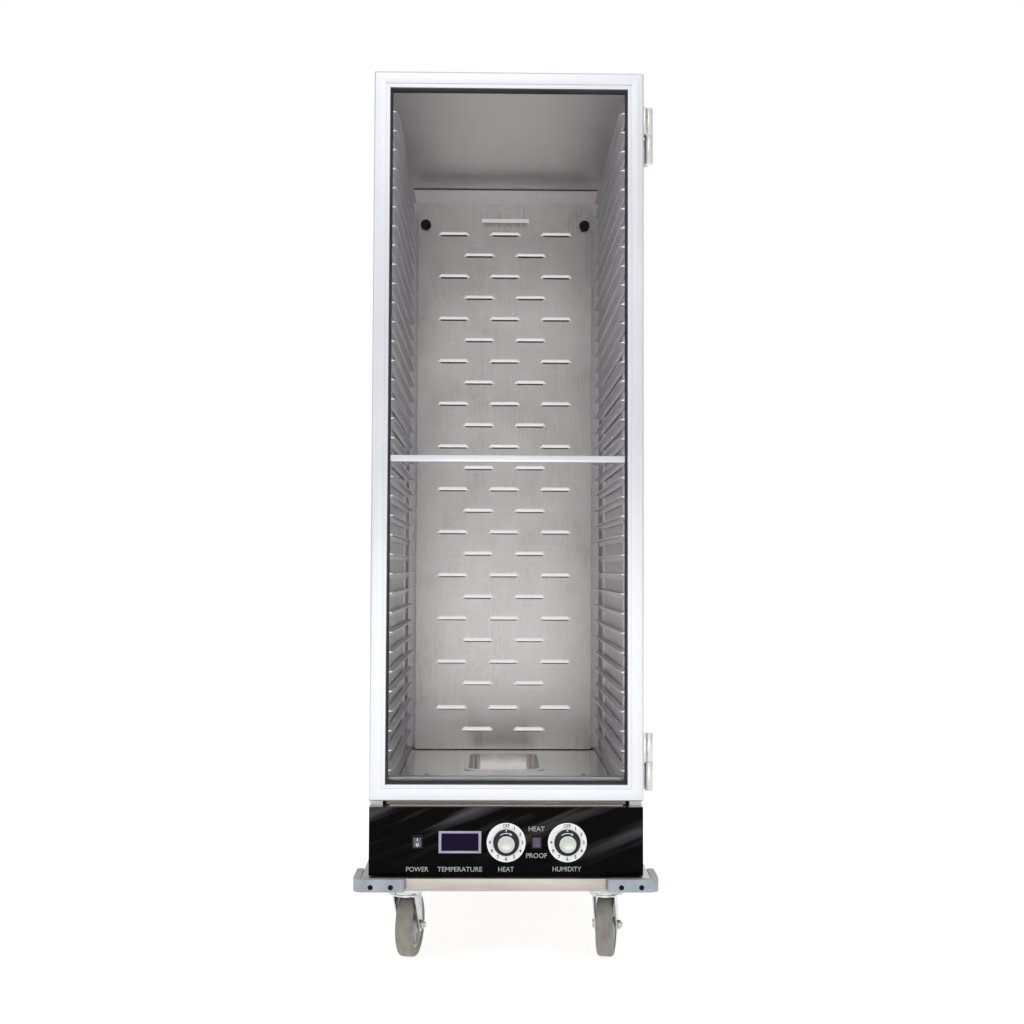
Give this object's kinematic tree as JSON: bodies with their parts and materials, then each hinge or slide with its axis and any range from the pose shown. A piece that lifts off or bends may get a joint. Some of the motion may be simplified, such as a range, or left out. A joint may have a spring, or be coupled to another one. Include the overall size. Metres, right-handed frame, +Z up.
{
  "type": "proofing cabinet",
  "caption": "Tall aluminium proofing cabinet on castors with a clear hinged door, tray slides, a louvred air duct and a slide-out heater and humidity module.",
  "frame": {"origin": "on the floor under the middle of the base, bumpers included", "axes": "+Z up, +X to the hinge side seen from the front, -Y towards the front where the door and controls are"},
  "size_m": [0.579, 0.858, 1.727],
  "materials": {
    "sheet_aluminium": "satin",
    "liner_aluminium": "satin",
    "slide_aluminium": "mill",
    "stainless": "brushed",
    "door_aluminium": "anodised satin",
    "clear_pane": "clear polycarbonate",
    "gasket_rubber": "matt",
    "seal_rubber": "matt",
    "hinge_metal": "satin",
    "base_aluminium": "satin",
    "bumper_vinyl": "moulded",
    "black_screw": "black oxide",
    "zinc": "bright zinc plate",
    "tyre_rubber": "matt",
    "hub_plastic": "moulded",
    "panel_black": "gloss",
    "bezel_grey": "satin",
    "display_dark": "smoked gloss",
    "switch_black": "moulded",
    "rocker_grey": "moulded",
    "knob_black": "moulded",
    "thumb_knob": "moulded",
    "heater_sheath": "oxidised sheath",
    "blower_steel": "galvanised",
    "motor_black": "black enamel",
    "gland_black": "moulded"
  },
  "bodies": {
    "cabinet": {"outer_side_left": "sheet_aluminium", "outer_side_right": "sheet_aluminium", "outer_back": "sheet_aluminium", "outer_top": "sheet_aluminium", "liner_wrap": "liner_aluminium", "liner_back": "liner_aluminium", "front_frame": "sheet_aluminium", "tray_slides_left": "slide_aluminium", "tray_slides_right": "slide_aluminium", "rack_posts": "liner_aluminium", "duct_panel": "stainless", "duct_panel_handle": "stainless", "duct_panel_knobs": "thumb_knob", "hinge_leaves_cabinet": "hinge_metal", "base_frame": "base_aluminium", "corner_bumpers": "bumper_vinyl", "bumper_screws": "black_screw", "castor_plates": "zinc"},
    "door": {"door_stile_left": "door_aluminium", "door_stile_right": "door_aluminium", "door_rail_top": "door_aluminium", "door_rail_bottom": "door_aluminium", "door_mid_rail": "door_aluminium", "door_pane_upper": "clear_pane", "door_pane_lower": "clear_pane", "glazing_gasket": "gasket_rubber", "door_seal": "seal_rubber", "hinge_leaves_door": "hinge_metal"},
    "heater_module": {"module_tray": "stainless", "control_panel": "panel_black", "display_bezel": "bezel_grey", "display_window": "display_dark", "switch_housings": "switch_black", "floor_plate": "stainless", "heating_elements": "heater_sheath", "blower_housing": "blower_steel", "blower_motor": "motor_black", "cable_gland": "gland_black"},
    "heat_knob": {"heat_knob": "knob_black"},
    "humidity_knob": {"humidity_knob": "knob_black"},
    "power_rocker": {"power_rocker": "rocker_grey"},
    "mode_rocker": {"mode_rocker": "switch_black"},
    "blower_wheel": {"blower_wheel": "blower_steel"},
    "water_pan": {"water_pan": "stainless"},
    "castor_front_left": {"castor_fork_front_left": "zinc", "castor_axle_front_left": "zinc"},
    "wheel_front_left": {"castor_tyre_front_left": "tyre_rubber", "castor_hub_front_left": "hub_plastic"},
    "castor_front_right": {"castor_fork_front_right": "zinc", "castor_axle_front_right": "zinc"},
    "wheel_front_right": {"castor_tyre_front_right": "tyre_rubber", "castor_hub_front_right": "hub_plastic"},
    "castor_rear_left": {"castor_fork_rear_left": "zinc", "castor_axle_rear_left": "zinc"},
    "wheel_rear_left": {"castor_tyre_rear_left": "tyre_rubber", "castor_hub_rear_left": "hub_plastic"},
    "castor_rear_right": {"castor_fork_rear_right": "zinc", "castor_axle_rear_right": "zinc"},
    "wheel_rear_right": {"castor_tyre_rear_right": "tyre_rubber", "castor_hub_rear_right": "hub_plastic"}
  },
  "joints": [
    {"name": "door_hinge", "type": "hinge", "parent": "cabinet", "child": "door", "pos_m": [0.273, -0.394, 1], "axis": [0, 0, 1], "range_deg": [0, 180]},
    {"name": "module_slide", "type": "slide", "parent": "cabinet", "child": "heater_module", "axis": [0, -1, 0], "range_m": [0, 0.7]},
    {"name": "pan_lift", "type": "slide", "parent": "heater_module", "child": "water_pan", "axis": [0, 0, 1], "range_m": [0, 0.1]},
    {"name": "heat_knob_turn", "type": "hinge", "parent": "heater_module", "child": "heat_knob", "pos_m": [0, -0.41, 0.2295], "axis": [0, 1, 0], "range_deg": [0, 270]},
    {"name": "humidity_knob_turn", "type": "hinge", "parent": "heater_module", "child": "humidity_knob", "pos_m": [0.1167, -0.41, 0.2295], "axis": [0, 1, 0], "range_deg": [0, 270]},
    {"name": "power_rocker_tilt", "type": "hinge", "parent": "heater_module", "child": "power_rocker", "pos_m": [-0.169, -0.394, 0.231], "axis": [1, 0, 0], "range_deg": [-16, 0]},
    {"name": "mode_rocker_tilt", "type": "hinge", "parent": "heater_module", "child": "mode_rocker", "pos_m": [0.058, -0.394, 0.231], "axis": [1, 0, 0], "range_deg": [-16, 0]},
    {"name": "blower_spin", "type": "hinge", "parent": "heater_module", "child": "blower_wheel", "pos_m": [-0.15, 0.25, 0.234], "axis": [1, 0, 0], "continuous": true},
    {"name": "swivel_front_left", "type": "hinge", "parent": "cabinet", "child": "castor_front_left", "pos_m": [-0.191, -0.368, 0.128], "axis": [0, 0, 1], "continuous": true},
    {"name": "spin_front_left", "type": "hinge", "parent": "castor_front_left", "child": "wheel_front_left", "pos_m": [-0.18528, -0.33855, 0.0605], "axis": [0.9816, -0.1908, 0], "continuous": true},
    {"name": "swivel_front_right", "type": "hinge", "parent": "cabinet", "child": "castor_front_right", "pos_m": [0.191, -0.368, 0.128], "axis": [0, 0, 1], "continuous": true},
    {"name": "spin_front_right", "type": "hinge", "parent": "castor_front_right", "child": "wheel_front_right", "pos_m": [0.19672, -0.33855, 0.0605], "axis": [0.9816, -0.1908, 0], "continuous": true},
    {"name": "swivel_rear_left", "type": "hinge", "parent": "cabinet", "child": "castor_rear_left", "pos_m": [-0.191, 0.368, 0.128], "axis": [0, 0, 1], "continuous": true},
    {"name": "spin_rear_left", "type": "hinge", "parent": "castor_rear_left", "child": "wheel_rear_left", "pos_m": [-0.19672, 0.33855, 0.0605], "axis": [-0.9816, 0.1908, 0], "continuous": true},
    {"name": "swivel_rear_right", "type": "hinge", "parent": "cabinet", "child": "castor_rear_right", "pos_m": [0.191, 0.368, 0.128], "axis": [0, 0, 1], "continuous": true},
    {"name": "spin_rear_right", "type": "hinge", "parent": "castor_rear_right", "child": "wheel_rear_right", "pos_m": [0.18528, 0.33855, 0.0605], "axis": [-0.9816, 0.1908, 0], "continuous": true}
  ]
}
